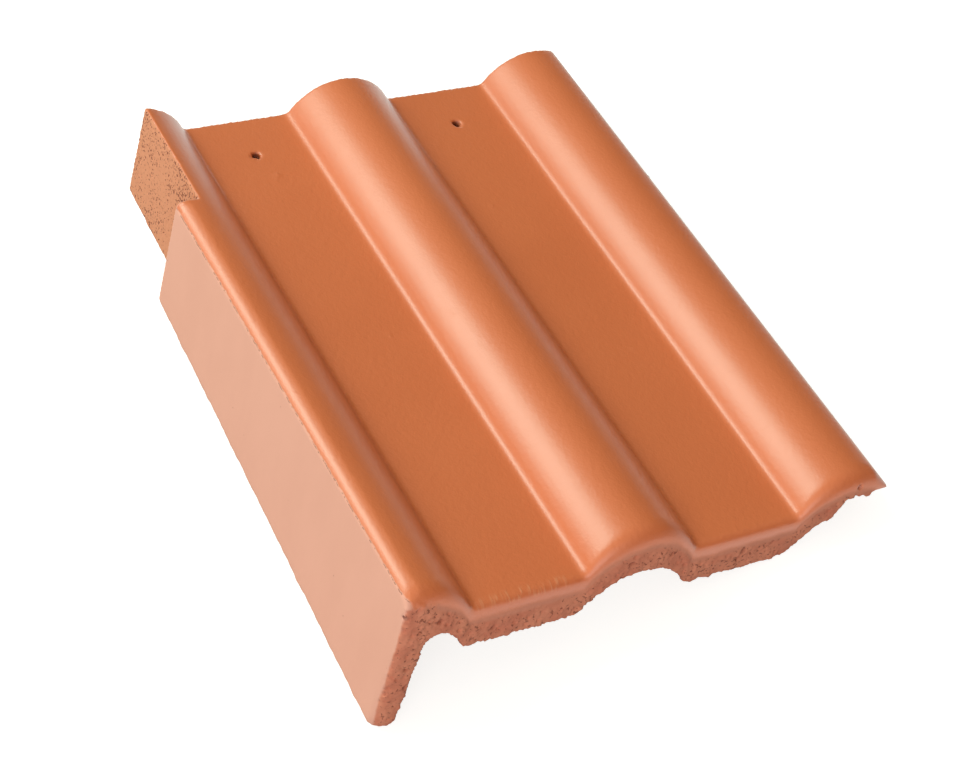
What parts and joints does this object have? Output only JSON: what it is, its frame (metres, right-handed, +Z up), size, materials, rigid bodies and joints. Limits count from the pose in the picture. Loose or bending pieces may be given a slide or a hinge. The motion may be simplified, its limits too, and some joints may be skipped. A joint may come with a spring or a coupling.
{
  "type": "verge roof tile",
  "caption": "Left-hand verge tile of an interlocking double-roll concrete roof tile, with a hanging side flap, head recess, nail holes and nibs.",
  "frame": {"origin": "on the floor, under the middle of the tile's box, with the tile lying as it rests unheld", "axes": "+Y up the tile from the eaves edge to the head, +X across from the verge flap to the side lap, +Z up from the floor"},
  "size_m": [0.3481, 0.423, 0.1131],
  "materials": {
    "coated_concrete": "terracotta coating with a satin sheen on the top, bare pale concrete on the flap and the cut ends"
  },
  "bodies": {
    "root": {"verge_tile": "coated_concrete"}
  },
  "joints": []
}
